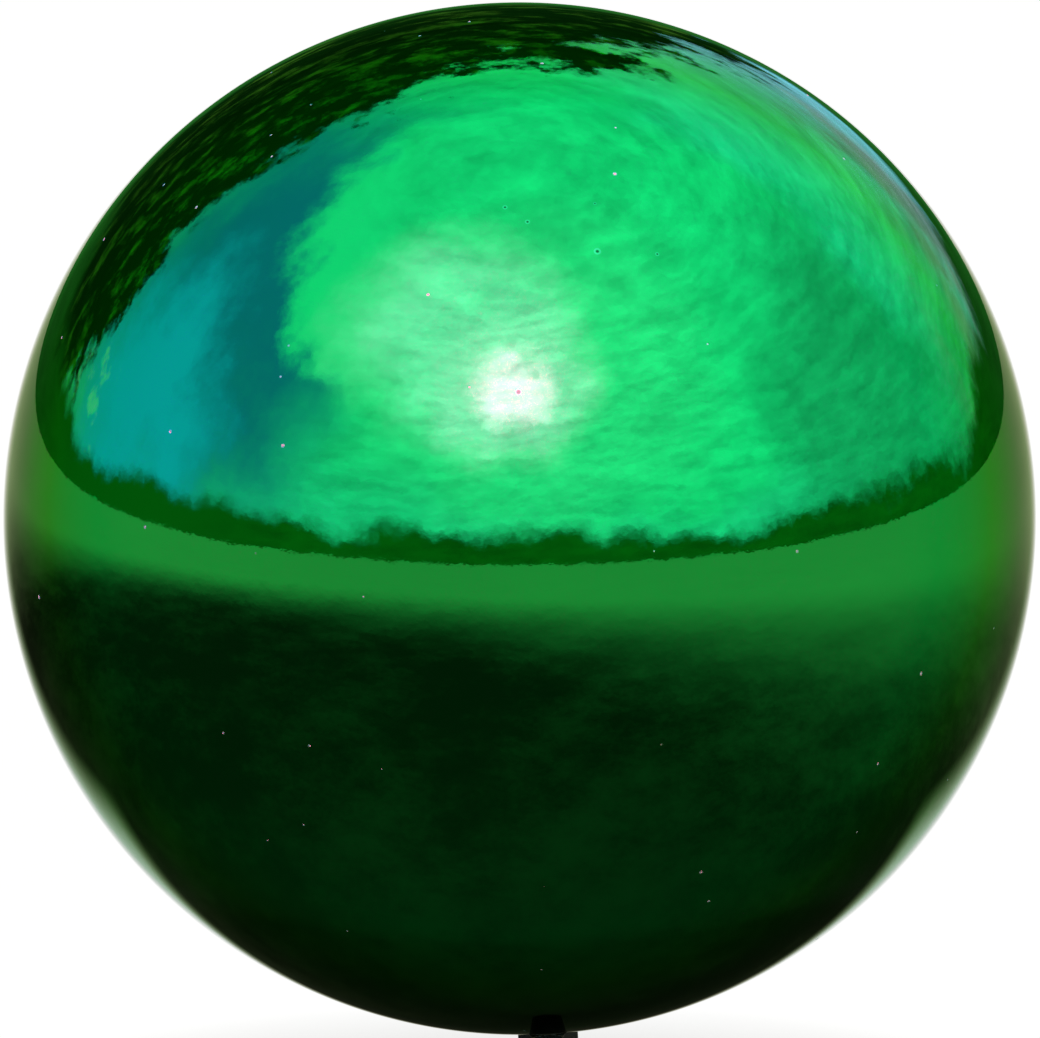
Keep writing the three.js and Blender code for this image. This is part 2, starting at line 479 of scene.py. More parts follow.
def paintedLightStretch(tree, spot):
    across, back = put(tree, "ShaderNodeSeparateXYZ", {0: spot}).outputs[:2]
    width, soft = [plus(tree, times(tree, back, spread), start)
                   for start, spread in (floorLight["stretchWidth"], floorLight["stretchSoft"])]
    aside = maths(tree, "ABSOLUTE", minus(tree, across, floorLight["stretchShift"]))
    past = over(tree, minus(tree, aside, width), soft)
    return times(tree, remap(tree, past, 1.0, 0.0), remap(tree, back, *floorLight["stretchNear"]))


# painted shade and light: a glow level that is dim round the ball and paler further out
def paintedDimGlow(tree, spot):
    noise = noiseOf(tree, spot, floorLight["grainScale"], floorLight["grainDetail"],
                    floorLight["grainRoughness"])["Fac"]
    grain = remap(tree, noise, *floorLight["grainRange"])
    stray = times(tree, minus(tree, noise, 0.5), floorLight["dimWander"])
    away = vectorMaths(tree, "DISTANCE", spot, (*floorLight["dimCentre"], -stage["floorDrop"]))
    far = remap(tree, plus(tree, away, stray), *floorLight["dimReach"], 0, floorLight["farLevel"])
    worn = minus(tree, 1.0, times(tree, grain, floorLight["farGrain"]))
    return plus(tree, times(tree, far, worn), times(tree, grain, floorLight["nearGrain"]))


def floorFinish():
    # a pale matt floor, see-through from below, with a painted glow that dull surfaces don't get:
    # painted light on a stretch behind the ball, painted shade round the ball and a painted shadow
    # from it
    material, tree, shader, spot = newMaterial("paleFloor")
    material.cycles.emission_sampling = "NONE"
    feed(tree, stage["floorColour"], shader.inputs["Base Color"])
    shader.inputs["Roughness"].default_value = 1.0
    shader.inputs["Specular IOR Level"].default_value = 0.0
    stretch = paintedLightStretch(tree, spot)
    colour = mixColour(tree, stretch, floorLight["farColour"], (1, 1, 1))
    level = plus(tree, times(tree, stretch, floorLight["stretchLevel"]),
                 times(tree, paintedDimGlow(tree, spot), minus(tree, 1.0, stretch)))
    shadow = put(tree, "ShaderNodeAmbientOcclusion", {"Distance": floorLight["shadowReach"]})
    strength = times(tree, times(tree, level, shadow.outputs["AO"]), seenPlainly(tree))
    glow = put(tree, "ShaderNodeEmission", {"Color": colour, "Strength": strength})
    lit = put(tree, "ShaderNodeAddShader", {0: shader.outputs[0], 1: glow.outputs[0]})
    below = put(tree, "ShaderNodeNewGeometry").outputs["Backfacing"]
    clear = put(tree, "ShaderNodeBsdfTransparent")
    side = put(tree, "ShaderNodeMixShader", {0: below, 1: lit.outputs[0], 2: clear.outputs[0]})
    feed(tree, side.outputs[0], tree.nodes["Material Output"].inputs["Surface"])
    return material


def makeFloor():
    half = stage["floorSize"] / 2
    drop = -stage["floorDrop"]
    bm = bmesh.new()
    corners = [(-half, -half, drop), (half, -half, drop), (half, half, drop), (-half, half, drop)]
    bm.faces.new([bm.verts.new(corner) for corner in corners])
    mesh = bpy.data.meshes.new("floor")
    bm.to_mesh(mesh)
    bm.free()
    mesh.materials.append(floorFinish())
    floor = bpy.data.objects.new("floor", mesh)
    floor.matrix_world = toFrame.to_4x4()
    bpy.context.scene.collection.objects.link(floor)


makeFloor()

# Light: one round lamp high above the ball, a little towards the camera, and a soft dome
light = {
    "keyAzimuth": -2.0,
    "keyElevation": 72,
    "keyDistance": 1.6,
    "keyWidth": 0.28,
    "keyPower": 0.008,
    "keySpread": 14,
    "fill": (0.030, 0.030, 0.020),  # what dull surfaces get from the dome
    "domeLow": (0.40, 1.30, 1.95),
    "domeHigh": (0.30, 1.35, 1.55),
    "domeBlend": (0.0, 0.6),
    "grain": 0.68,  # how rough the dome's pattern is in its fine detail
    "wander": 0.42,  # how far the patches' edges stray
    "wanderScale": 2.1,
    "wanderDetail": 8,
    "streaks": 0.60,  # how strongly the dome's light is streaked
    "streakScale": (6.0, 6.0, 24.0),
    "streakWander": 3.5,
    "streakDetail": 8,
    "streakRange": (0.3, 0.7),
    "calm": (-95, 28, 22, 55),  # where it is smooth: azimuth, elevation, full within, gone beyond
    # the patches: azimuth, elevation, full within, gone beyond (degrees), strength, colour
    "patches": [
        (-92, 38, 8, 58, 1.0, (0.05, 0.34, 1.50)),
        (-100, 12, 4, 33, 0.95, (0.08, 0.82, 3.5)),
        (20, 60, 49, 57, 1.0, (0.30, 1.55, 1.85)),
        (100, 20, 15, 42, 1.0, (0.25, 0.88, 1.10)),
        (150, 30, 12, 36, 1.0, (0.8, 1.50, 2.7)),
        (-120, 4, 4, 12, 0.7, (1.8, 1.3, 1.9)),
        (141, 6, 6, 22, 0.9, (1.0, 0.9, 1.4)),
    ],
    # the white glow on the camera's side, from wide to narrow: azimuth, elevation, full within,
    # gone beyond, falloff, the share of the stray that it takes, colour
    "glows": [
        (5, 42, 8, 50, 1.3, 0.5, (1.0, 1.70, 2.2)),
        (-20, 50, 0, 33, 1.8, 0.5, (7.5, 1.95, 4.2)),
        (-3, 39, 0, 24, 2.0, 0.3, (12.0, 2.0, 4.8)),
        (-2, 38, 0, 11, 2.0, 0.12, (50.0, 2.7, 10.5)),
    ],
    # dark patches with a ragged edge: azimuth, elevation, full within, gone beyond
    "darkPatches": [
        (-156, 20, 31, 35),
        (-168, 37, 19, 24),
    ],
    "darkShades": ((0.006, 0.045, 0.006), (0.14, 0.36, 0.04)),
    "darkShadeRange": (0.48, 0.74),
    "darkScale": 16,
    "darkDetail": 4,
    "raggedScale": 13,
    "raggedDetail": 5,
    "raggedDepth": 0.16,
    # the dark band round the dome's foot
    "bandHeights": (7.5, 3.0),  # gone above, full below (degrees)
    "bandWander": 0.36,
    "bandColour": (0.03, 0.20, 0.03),
}


def makeLamp():
    direction = stageDirection(light["keyAzimuth"], light["keyElevation"])
    lamp = bpy.data.lights.new("keyLamp", "AREA")
    lamp.shape = "DISK"
    lamp.size = light["keyWidth"]
    lamp.energy = light["keyPower"]
    lamp.spread = math.radians(light["keySpread"])
    holder = bpy.data.objects.new("keyLamp", lamp)
    turn = direction.to_track_quat("Z", "Y").to_matrix().to_4x4()
    holder.matrix_world = Matrix.Translation(ballCentre + direction * light["keyDistance"]) @ turn
    holder.visible_camera = False
    holder.visible_glossy = False
    bpy.context.scene.collection.objects.link(holder)


def lobe(tree, ray, azimuth, elevation, inner, outer):
    # 1 within the inner angle of a place on the dome, 0 beyond the outer one
    nearness = vectorMaths(tree, "DOT_PRODUCT", ray, stageDirection(azimuth, elevation))
    return remap(tree, nearness, math.cos(math.radians(outer)), math.cos(math.radians(inner)))


def strayOf(tree, ray, scale, detail):
    # a vector that wanders about zero
    noise = noiseOf(tree, ray, scale, detail, light["grain"])["Color"]
    return vectorMaths(tree, "SUBTRACT", noise, (0.5, 0.5, 0.5))


def domeColour(tree, ray, stray):
    def astray(vector, amount, by=stray):
        return vectorMaths(tree, "ADD", vector, vectorMaths(tree, "MULTIPLY", by, (amount,) * 3))

    height = vectorMaths(tree, "DOT_PRODUCT", ray, stageUp)
    blend = remap(tree, height, *light["domeBlend"])
    dome = mixColour(tree, blend, light["domeLow"], light["domeHigh"])
    bent = astray(ray, light["wander"])
    for *where, strength, colour in light["patches"]:
        dome = mixColour(tree, times(tree, lobe(tree, bent, *where), strength), dome, colour)
    for *where, falloff, share, colour in light["glows"]:
        nearby = astray(ray, light["wander"] * share)
        glow = maths(tree, "POWER", lobe(tree, nearby, *where), falloff)
        dome = mixColour(tree, glow, dome, colour)
    ragged = strayOf(tree, ray, light["raggedScale"], light["raggedDetail"])
    torn = astray(bent, light["raggedDepth"], ragged)
    shades = noiseOf(tree, ray, light["darkScale"], light["darkDetail"], light["grain"])["Fac"]
    shade = mixColour(tree, remap(tree, shades, *light["darkShadeRange"]), *light["darkShades"])
    for where in light["darkPatches"]:
        dome = mixColour(tree, lobe(tree, torn, *where), dome, shade)
    low = vectorMaths(tree, "DOT_PRODUCT", astray(ray, light["bandWander"]), stageUp)
    band = remap(tree, low, *[math.sin(math.radians(edge)) for edge in light["bandHeights"]])
    return mixColour(tree, band, dome, light["bandColour"])


def domeStreaks(tree, ray, stray):
    # streaks about level 1, which fade out in the calm part
    wander = light["wander"] * light["streakWander"]
    streakRay = vectorMaths(tree, "ADD", vectorMaths(tree, "MULTIPLY", ray, light["streakScale"]),
                            vectorMaths(tree, "MULTIPLY", stray, (wander,) * 3))
    streaks = noiseOf(tree, streakRay, 1.0, light["streakDetail"], light["grain"])["Fac"]
    half = light["streaks"] / 2
    change = remap(tree, streaks, *light["streakRange"], -half, half, smooth=False)
    lively = minus(tree, 1.0, lobe(tree, ray, *light["calm"]))
    return plus(tree, times(tree, change, lively), 1.0)


def makeDome():
    world = bpy.data.worlds.new("dome")
    bpy.context.scene.world = world
    world.use_nodes = True
    tree = world.node_tree
    tree.nodes.clear()
    ray = put(tree, "ShaderNodeTexCoord").outputs["Generated"]
    stray = strayOf(tree, ray, light["wanderScale"], light["wanderDetail"])
    look = put(tree, "ShaderNodeBackground",
               {"Color": domeColour(tree, ray, stray), "Strength": domeStreaks(tree, ray, stray)})
    fill = put(tree, "ShaderNodeBackground", {"Color": light["fill"]})
    both = put(tree, "ShaderNodeMixShader",
               {0: seenPlainly(tree), 1: fill.outputs[0], 2: look.outputs[0]})
    put(tree, "ShaderNodeOutputWorld", {"Surface": both.outputs[0]})


makeLamp()
makeDome()
print("stage, camera and lights set")

# The marks on the lacquer: where each pit lies in the picture, in pixels, and its radius in metres
pits = {
    "places": [(592, 270, 0.0010), (527, 242, 0.0007), (506, 228, 0.0007), (648, 272, 0.0006),
               (590, 224, 0.0005)],
    "haloStrength": 0.5,
    "haloColour": (0.10, 0.60, 0.25),
    "holeStrength": 0.8,
    "holeColour": (0.004, 0.05, 0.02),
}


def markPlace(x, y):
    # the spot on the front of the ball that the camera sees at a pixel of the picture
    across = (x - view["ballPixel"][0]) / view["ballPixelRadius"]
    upward = (view["ballPixel"][1] - y) / view["ballPixelRadius"]
    front = math.sqrt(max(0.0, 1 - across ** 2 - upward ** 2))
    back, up = frontAxes()
    return ballCentre + (stageRight * across + up * upward + back * front) * ballRadius


lacquer = {
    "green": (0.014, 0.44, 0.085),
    "deepGreen": (0.012, 0.38, 0.078),
    "driftWavelength": 0.09,
    "driftContrast": 0.4,
    "edgeTint": (0.008, 0.27, 0.06),  # the film looks deeper where it is seen at a slant
    "roughness": 0.015,
    "hazeRoughness": 0.04,
    "hazeWavelength": 0.035,
    "hazeContrast": 0.8,
    "coatIor": 1.12,
    "coatRoughness": 0.01,
    "rippleWavelength": 0.0050,
    "rippleDepth": 0.000014,
    "rippleContrast": 0.1,
    "dustSpacing": 0.009,
    "dustSize": 0.0005,
    "dustShare": 0.5,
    "dustColour": (0.75, 0.78, 0.70),
}


def greenLacquer():
    material, tree, shader, spot = newMaterial("greenLacquer")
    drift = mottled(tree, spot, lacquer["driftWavelength"], lacquer["driftContrast"])
    haze = mottled(tree, spot, lacquer["hazeWavelength"], lacquer["hazeContrast"])
    ripple = mottled(tree, spot, lacquer["rippleWavelength"], lacquer["rippleContrast"])
    dust = place(tree, specks, Vector=spot, Spacing=lacquer["dustSpacing"],
                 Size=lacquer["dustSize"], Share=lacquer["dustShare"])["Mask"]
    hole = halo = 0.0
    for x, y, radius in pits["places"]:
        made = place(tree, pit, Vector=spot, Centre=markPlace(x, y), Radius=radius,
                     Hole=hole, Halo=halo)
        hole = made["Hole"]
        halo = made["Halo"]
    colour = mixColour(tree, drift, lacquer["green"], lacquer["deepGreen"])
    colour = mixColour(tree, times(tree, halo, pits["haloStrength"]), colour, pits["haloColour"])
    colour = mixColour(tree, times(tree, hole, pits["holeStrength"]), colour, pits["holeColour"])
    colour = mixColour(tree, dust, colour, lacquer["dustColour"])
    rough = remap(tree, haze, 0.0, 1.0, lacquer["roughness"], lacquer["hazeRoughness"])
    feed(tree, colour, shader.inputs["Base Color"])
    feed(tree, maths(tree, "MAXIMUM", rough, dust), shader.inputs["Roughness"])
    feed(tree, minus(tree, 1.0, dust), shader.inputs["Coat Weight"])
    shader.inputs["Metallic"].default_value = 1.0
    shader.inputs["Specular Tint"].default_value = (*lacquer["edgeTint"], 1)
    shader.inputs["Coat Roughness"].default_value = lacquer["coatRoughness"]
    shader.inputs["Coat IOR"].default_value = lacquer["coatIor"]
    bump(tree, shader, ripple, lacquer["rippleDepth"])
    return material


# Colours of heated steel, from straw at the edge of the heated patch to grey scale beside the weld
heatTints = [(0.10, (0.52, 0.40, 0.20)), (0.38, (0.36, 0.20, 0.16)), (0.55, (0.20, 0.13, 0.26)),
             (0.75, (0.13, 0.19, 0.34)), (1.0, (0.26, 0.25, 0.25))]
heatShows = 0.25  # the heat from which the tint is full


def tinted(tree, heat, colour):
    ramp = put(tree, "ShaderNodeValToRGB", {0: heat})
    elements = ramp.color_ramp.elements
    elements.remove(elements[1])
    for i, (position, tint) in enumerate(heatTints):
        element = elements.new(position) if i else elements[0]
        element.position = position
        element.color = (*tint, 1)
    return mixColour(tree, remap(tree, heat, 0.0, heatShows), colour, ramp.outputs[0])


plainLook = {
    "driftContrast": 0.6,
    "grainContrast": 0.3,
    "dustSpacing": 0.0016,
    "dustSize": 0.0003,
}


def plainFinish(name, look, heatOf=None):
    # a dull or satin surface whose colour and gloss drift from place to place
    material, tree, shader, spot = newMaterial(name)
    drift = mottled(tree, spot, look["wavelength"], plainLook["driftContrast"])
    colour = mixColour(tree, drift, *look["colours"])
    fine = mottled(tree, spot, look["grain"], plainLook["grainContrast"])
    rough = remap(tree, fine, 0.0, 1.0, *look["roughness"])
    height = fine
    if "turningPitch" in look:
        marks = place(tree, turningMarks, Vector=spot, Pitch=look["turningPitch"])["Height"]
        height = plus(tree, height, times(tree, marks, look["turningShare"]))
    if heatOf:
        colour = tinted(tree, heatOf(tree, spot), colour)
    shader.inputs["Metallic"].default_value = look["metallic"]
    if "wornColour" in look:
        edge = put(tree, "ShaderNodeNewGeometry").outputs["Pointiness"]
        worn = place(tree, edgeWear, Vector=spot, Edge=edge, Grain=look["wornGrain"],
                     Start=look["wornFrom"], Full=look["wornFull"])["Mask"]
        colour = mixColour(tree, worn, colour, look["wornColour"])
        rough = remap(tree, worn, 0.0, 1.0, rough, look["wornRoughness"])
        feed(tree, remap(tree, worn, 0.0, 1.0, look["metallic"], 1.0), shader.inputs["Metallic"])
    if "dustShare" in look:
        dust = place(tree, specks, Vector=spot, Share=look["dustShare"],
                     Spacing=plainLook["dustSpacing"], Size=plainLook["dustSize"])["Mask"]
        colour = mixColour(tree, dust, colour, lacquer["dustColour"])
    feed(tree, colour, shader.inputs["Base Color"])
    feed(tree, rough, shader.inputs["Roughness"])
    bump(tree, shader, height, look["depth"])
    return material


insideSteel = {
    "colours": ((0.50, 0.49, 0.47), (0.40, 0.40, 0.39)),
    "wavelength": 0.03,
    "grain": 0.0012,
    "roughness": (0.28, 0.42),
    "depth": 0.000003,
    "metallic": 1.0,
    "seamHeat": 0.007,  # how far from the weld the inside is tinted
}
weldMetal = {
    "colours": ((0.46, 0.38, 0.26), (0.30, 0.30, 0.36)),
    "wavelength": 0.004,
    "grain": 0.0004,
    "roughness": (0.28, 0.42),
    "depth": 0.00003,
    "metallic": 1.0,
}
bareSteel = {
    "colours": ((0.52, 0.51, 0.50), (0.40, 0.39, 0.38)),
    "wavelength": 0.006,
    "grain": 0.0005,
    "roughness": (0.30, 0.48),
    "depth": 0.00001,
    "metallic": 1.0,
    "spotHeat": 0.0052,  # round each spot weld
    "nutHeat": 0.0125,  # round the nut, from the axis
    "nutBaseHeat": 0.0030,  # up the nut from its weld
}
stainless = {
    "colours": ((0.58, 0.58, 0.57), (0.50, 0.51, 0.51)),
    "wavelength": 0.005,
    "grain": 0.0004,
    "roughness": (0.20, 0.34),
    "depth": 0.000004,
    "metallic": 1.0,
    "turningPitch": 0.00025,
    "turningShare": 2.0,
}
blackRubber = {
    "colours": ((0.014, 0.014, 0.014), (0.024, 0.024, 0.023)),
    "wavelength": 0.003,
    "grain": 0.00025,
    "roughness": (0.6, 0.8),
    "depth": 0.00001,
    "metallic": 0.0,
    "dustShare": 0.35,
}
blackenedSteel = {
    "colours": ((0.018, 0.018, 0.020), (0.032, 0.030, 0.028)),
    "wavelength": 0.006,
    "grain": 0.0005,
    "roughness": (0.26, 0.46),
    "depth": 0.000005,
    "metallic": 0.6,
    "turningPitch": 0.0003,
    "turningShare": 2.5,
    "wornColour": (0.42, 0.41, 0.40),
    "wornRoughness": 0.24,
    "wornGrain": 0.0007,
    "wornFrom": 0.525,
    "wornFull": 0.575,
}


disc = {
    "columns": 144,
    "thickness": 0.001,
    "skirtGap": 0.00025,
    "holeRadius": 0.00565,
    "welds": 6,  # spot welds through the skirt
    "weldRadiusShare": 0.72,
    "weldWidth": 0.0034,
    "weldDepth": 0.00022,
    "skirtRows": 40,
    "underRows": 14,
}


def seamHeat(tree, spot):
    middle = (seamLow.z + seamHigh.z) / 2
    return place(tree, bandHeat, Vector=spot, Level=middle, Reach=insideSteel["seamHeat"])["Heat"]


def discHeat(tree, spot):
    spots = place(tree, weldHeat, Vector=spot, Count=disc["welds"],
                  Circle=discHigh.x * disc["weldRadiusShare"], Reach=bareSteel["spotHeat"])["Heat"]
    middle = place(tree, weldHeat, Vector=spot, Count=1, Circle=0.0,
                   Reach=bareSteel["nutHeat"])["Heat"]
    return maths(tree, "MAXIMUM", spots, middle)


def nutHeat(tree, spot):
    return place(tree, bandHeat, Vector=spot, Level=discLow.z + disc["thickness"],
                 Reach=bareSteel["nutBaseHeat"])["Heat"]


greenFinish = greenLacquer()
innerFinish = plainFinish("insideSteel", insideSteel, seamHeat)
weldFinish = plainFinish("weldMetal", weldMetal)
discFinish = plainFinish("discSteel", bareSteel, discHeat)
nutFinish = plainFinish("nutSteel", bareSteel, nutHeat)
washerFinish = plainFinish("satinStainless", stainless)
rubberFinish = plainFinish("blackRubber", blackRubber)
stemFinish = plainFinish("blackenedSteel", blackenedSteel)
print("finishes made")

# The ball's outer surface: a sphere that the slow waves take in by a few hundredths of a millimetre
waveRandom = np.random.default_rng(ball["seed"])
waveTurns = waveRandom.normal(size=(ball["waves"], 3))
waveTurns /= np.linalg.norm(waveTurns, axis=1, keepdims=True)
waveLengths = waveRandom.uniform(ball["shortestWave"], ball["longestWave"], ball["waves"])
waveNumbers = waveTurns * (2 * math.pi / waveLengths)[:, None]
wavePhases = waveRandom.uniform(0, 2 * math.pi, ball["waves"])


def ballSkin(directions):
    phase = directions * ballRadius @ waveNumbers.T + wavePhases
    dip = (np.cos(phase).mean(1) - 1) / 2 * ball["waveDepth"]
    slope = -(np.sin(phase)[:, :, None] * waveNumbers).mean(1) / 2 * ball["waveDepth"]
    slope -= directions * (slope * directions).sum(1, keepdims=True)
    normals = directions - slope
    return ballRadius + dip, normals / np.linalg.norm(normals, axis=1, keepdims=True)


def ballRow(polar, inset=0.0, level=None):
    # the row of points at an angle from the ball's top, inset from the skin; level fixes its height
    angle = ringAngles(ball["columns"])
    directions = np.stack([math.sin(polar) * np.cos(angle), math.sin(polar) * np.sin(angle),
                           np.full(ball["columns"], math.cos(polar))], 1)
    reach = ballSkin(directions)[0] - inset
    row = directions * reach[:, None] + np.array(ballCentre)
    if level is not None:
        row[:, 2] = level
    return row


def skinNormals(lastOuterRow, edgeRadius=0.0):
    # exact normals for the faces of rows up to lastOuterRow that lie outside edgeRadius
    def normals(row, points):
        away = points - np.array(ballCentre)
        directions = away / np.linalg.norm(away, axis=1, keepdims=True)
        where = (row < lastOuterRow) & (np.hypot(points[:, 0], points[:, 1]) >= edgeRadius)
        return ballSkin(directions)[1], where
    return normals


def upperHalf():
    edge = upperLow.z - ballCentre.z
    outer = np.linspace(0, math.acos(edge / ballRadius), ball["outerRows"])
    inner = np.linspace(math.acos(edge / (ballRadius - ball["sheet"])), 0, ball["innerRows"])
    rows = [pole(ballCentre.z + ballSkin(np.array([[0.0, 0.0, 1.0]]))[0][0])]
    rows += [ballRow(polar) for polar in outer[1:-1]]
    rows.append(ballRow(outer[-1], 0.0, upperLow.z))
    rows.append(ballRow(inner[0], ball["sheet"], upperLow.z))
    rows += [ballRow(polar, ball["sheet"]) for polar in inner[1:-1]]
    rows.append(pole(ballCentre.z + ballRadius - ball["sheet"] - ball["waveDepth"]))
    lastOuter = ball["outerRows"] - 1
    piece = buildPiece("upperHalf", rows, finishOf=lambda row: 0 if row < lastOuter else 1,
                       normalOf=skinNormals(lastOuter))
    fit(piece, "ball", "upper_shell", (greenFinish, innerFinish))


seat = {
    "holeRadius": 0.0044,
    "bend": 0.0005,  # half the width of the crease where the sphere turns into the flat
    "bendSteps": 5,
    "edgeFillet": 0.00015,
    "flatRows": 8,
    "filletRows": 3,
}


def lowerHalf():
    columns = ball["columns"]
    sheet = ball["sheet"]
    seatLevel = lowerLow.z
    depth = ballCentre.z - seatLevel
    seatRadius = math.sqrt(ballRadius ** 2 - depth ** 2)
    innerSeatRadius = math.sqrt((ballRadius - sheet) ** 2 - (depth - sheet) ** 2)
    edge = lowerHigh.z - ballCentre.z
    creaseOut = seatRadius + seat["bend"]
    outer = np.linspace(math.acos(edge / ballRadius), math.pi - math.asin(creaseOut / ballRadius),
                        ball["outerRows"])
    rows = [ballRow(outer[0], 0.0, lowerHigh.z)]
    rows += [ballRow(polar) for polar in outer[1:]]
    lastOuter = len(rows) - 1
    creaseHeight = ballCentre.z - math.sqrt(ballRadius ** 2 - creaseOut ** 2) - seatLevel
    for k in range(1, seat["bendSteps"] + 1):
        t = k / seat["bendSteps"]
        level = seatLevel + creaseHeight * (1 - t) ** 2
        rows.append(ring(creaseOut - 2 * seat["bend"] * t, level, columns))
    hole = seat["holeRadius"]
    fillet = seat["edgeFillet"]
    for radius in np.linspace(seatRadius - seat["bend"], hole + fillet, seat["flatRows"])[1:]:
        rows.append(ring(radius, seatLevel, columns))
    for k in range(1, seat["filletRows"] + 1):
        turn = math.pi / 2 * k / seat["filletRows"]
        radius = hole + fillet * (1 - math.sin(turn))
        rows.append(ring(radius, seatLevel + fillet * (1 - math.cos(turn)), columns))
    rows.append(ring(hole, seatLevel + sheet, columns))
    for radius in np.linspace(hole, innerSeatRadius, seat["flatRows"])[1:]:
        rows.append(ring(radius, seatLevel + sheet, columns))
    innerRadius = ballRadius - sheet
    inner = np.linspace(math.pi - math.asin(innerSeatRadius / innerRadius),
                        math.acos(edge / innerRadius), ball["innerRows"])
    rows += [ballRow(polar, sheet) for polar in inner[1:-1]]
    rows.append(ballRow(inner[-1], sheet, lowerHigh.z))
    lastLacquer = lastOuter + seat["bendSteps"] + seat["flatRows"] - 1 + seat["filletRows"]
    piece = buildPiece("lowerHalf", rows, closed=True,
                       finishOf=lambda row: 0 if row < lastLacquer else 1,
                       normalOf=skinNormals(lastOuter, creaseOut + seat["bend"]))
    fit(piece, "ball", "lower_shell", (greenFinish, innerFinish))


bead = {
    "rows": 4,
    "rootRows": 10,
    "rootHeight": 0.0005,
    "rootFullness": 0.7,  # below 1 the root's section is fuller than a sine
    # swellings where the root ran slower: how many round the ball, their share of the height, phase
    "evenShare": 0.82,
    "swellings": [(61, 0.12, 0), (23, 0.06, 1)],
}


def seamBand():
    columns = ball["columns"]
    angle = ringAngles(columns)
    top = seamHigh.z
    low = seamLow.z
    rows = []
    for k in range(bead["rows"] + 1):
        level = top + (low - top) * k / bead["rows"]
        rows.append(ballRow(math.acos((level - ballCentre.z) / ballRadius), 0.0, level))
    swell = bead["evenShare"] + sum(share * np.sin(angle * count + phase)
                                    for count, share, phase in bead["swellings"])
    for k in range(bead["rootRows"] + 1):
        t = k / bead["rootRows"]
        level = low + (top - low) * t
        height = bead["rootHeight"] * math.sin(math.pi * t) ** bead["rootFullness"] * swell
        polar = math.acos((level - ballCentre.z) / (ballRadius - ball["sheet"]))
        row = ballRow(polar, ball["sheet"], level)
        row[:, 0] -= height * np.cos(angle)
        row[:, 1] -= height * np.sin(angle)
        rows.append(row)
    piece = buildPiece("seamBand", rows, closed=True, normalOf=skinNormals(bead["rows"]),
                       finishOf=lambda row: 0 if row < bead["rows"] else 1)
    fit(piece, "ball", "seam_weld", (greenFinish, weldFinish))


upperHalf()
lowerHalf()
seamBand()
print("ball built")


def baseDisc():
    columns = disc["columns"]
    angle = ringAngles(columns)
    skirtSphere = ballRadius - ball["sheet"] - disc["skirtGap"]
    rimRadius = discHigh.x
    flatLevel = discLow.z
    flatRadius = math.sqrt(skirtSphere ** 2 - (ballCentre.z - flatLevel) ** 2)
    topSphere = skirtSphere - disc["thickness"]
    weldCircle = rimRadius * disc["weldRadiusShare"]

    def dent(radius):
        deep = np.zeros(columns)
        for k in range(disc["welds"]):
            turn = 2 * math.pi * (k + 0.5) / disc["welds"]
            away = np.hypot(radius * np.cos(angle) - weldCircle * math.cos(turn),
                            radius * np.sin(angle) - weldCircle * math.sin(turn))
            deep += disc["weldDepth"] * np.clip(1 - (away / disc["weldWidth"] * 2) ** 2, 0, 1)
        return deep

    def lowSide(radius):
        return np.full(columns, ballCentre.z - math.sqrt(skirtSphere ** 2 - radius ** 2))

    def highSide(radius):
        return ballCentre.z - math.sqrt(topSphere ** 2 - radius ** 2) - dent(radius)

    topFlat = math.sqrt(topSphere ** 2 - (ballCentre.z - flatLevel - disc["thickness"]) ** 2)
    topRim = rimRadius * topSphere / skirtSphere
    rows = [ring(disc["holeRadius"], flatLevel, columns)]
    rows += [ring(radius, lowSide(radius), columns)
             for radius in np.linspace(flatRadius, rimRadius, disc["underRows"])]
    rows += [ring(radius, highSide(radius), columns)
             for radius in np.linspace(topRim, topFlat, disc["skirtRows"])]
    rows.append(ring(disc["holeRadius"], flatLevel + disc["thickness"], columns))
    piece = buildPiece("reinforcingDisc", rows, closed=True, sharpAngle=35)
    fit(piece, "ball", "base_disc", (discFinish,))


thread = {
    "pitch": 0.00125,
    "majorRadius": 0.004,
    "depth": 0.00070,
    "clearance": 0.00012,
    "rowsPerPitch": 16,
    "crest": 0.125,  # shares of half a pitch, and of the flank's fall that is rounded
    "flank": 0.72,
    "rounding": 0.35,
}


def threadRadius(level, columns):
    # a right-hand thread: flat crest, straight flanks, rounded root
    turns = (level / thread["pitch"] - ringAngles(columns) / (2 * math.pi)) % 1.0
    fromCrest = np.minimum(turns, 1 - turns) * 2
    fall = np.clip((fromCrest - thread["crest"]) / thread["flank"], 0, 1)
    rounded = fall ** 2 * (3 - 2 * fall)
    share = thread["rounding"]
    return thread["majorRadius"] - thread["depth"] * (rounded * share + fall * (1 - share))


hexagon = {
    "circleShare": 0.94,  # where the turned-back corners begin, as a share of the inscribed circle
    "edgeBand": 0.00035,
}


def hexRadius(acrossFlats, columns):
    # distance from the axis to a hexagon's side, corners on X
    wedge = (ringAngles(columns) + math.pi / 6) % (math.pi / 3) - math.pi / 6
    return acrossFlats / 2 / np.cos(math.pi / 6 - np.abs(wedge))


def hexRows(acrossFlats, low, high, columns, lowSlope, highSlope):
    # rows up a hexagon whose corners are turned back at the ends: slope 0 leaves an end square;
    # further rows close to the edges keep the wear on them
    reach = hexRadius(acrossFlats, columns)
    circle = acrossFlats / 2 * hexagon["circleShare"]
    edgeBand = hexagon["edgeBand"]
    sideLow = low + (reach - circle) * lowSlope
    sideHigh = high - (reach - circle) * highSlope
    rows = [ring(circle, low, columns)] if lowSlope else []
    rows += [ring(reach, sideLow, columns), ring(reach, sideLow + edgeBand, columns)]
    rows += [ring(reach, sideHigh - edgeBand, columns), ring(reach, sideHigh, columns)]
    rows += [ring(circle, high, columns)] if highSlope else []
    return rows


nut = {
    "columns": 120,
    "acrossFlats": 0.014,
    "pilotRadius": 0.00545,
    "boreRadius": 0.00415,
    "countersink": 0.0006,
    "chamferSlope": math.tan(math.radians(30)),
}


